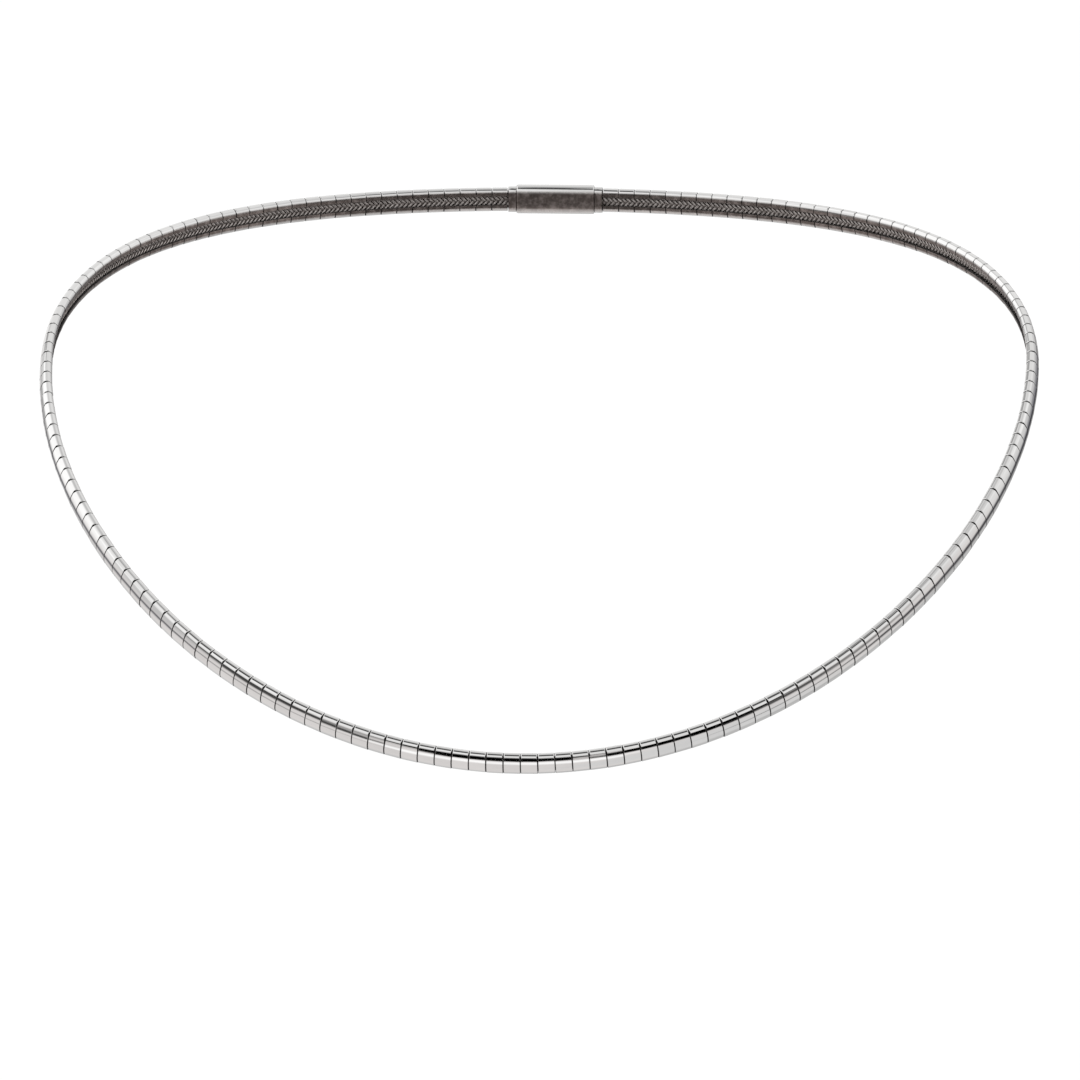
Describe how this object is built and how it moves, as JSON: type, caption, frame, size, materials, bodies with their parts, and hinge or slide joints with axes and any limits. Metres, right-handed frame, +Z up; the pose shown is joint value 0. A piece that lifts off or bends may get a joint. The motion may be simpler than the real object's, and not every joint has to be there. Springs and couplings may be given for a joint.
{
  "type": "plate-on-mesh necklace",
  "caption": "Close-fitting necklace of domed polished plates crimped over a flat woven band, closed by a plain clasp at the nape, in its worn shape.",
  "frame": {"origin": "middle of the clasp's inner face, where the necklace sits on the nape", "axes": "+Z up, the front of the necklace towards -Y, +X to the right seen from the front"},
  "size_m": [0.1318, 0.1094, 0.066],
  "materials": {
    "polished_plate": "mirror-polished white gold with fine wear lines",
    "woven_wire": "woven white-gold wire, dull and dark in its gaps",
    "polished_clasp": "polished white gold, softer than the plates"
  },
  "bodies": {
    "root": {"plates": "polished_plate", "mesh_band": "woven_wire", "clasp": "polished_clasp"}
  },
  "joints": []
}
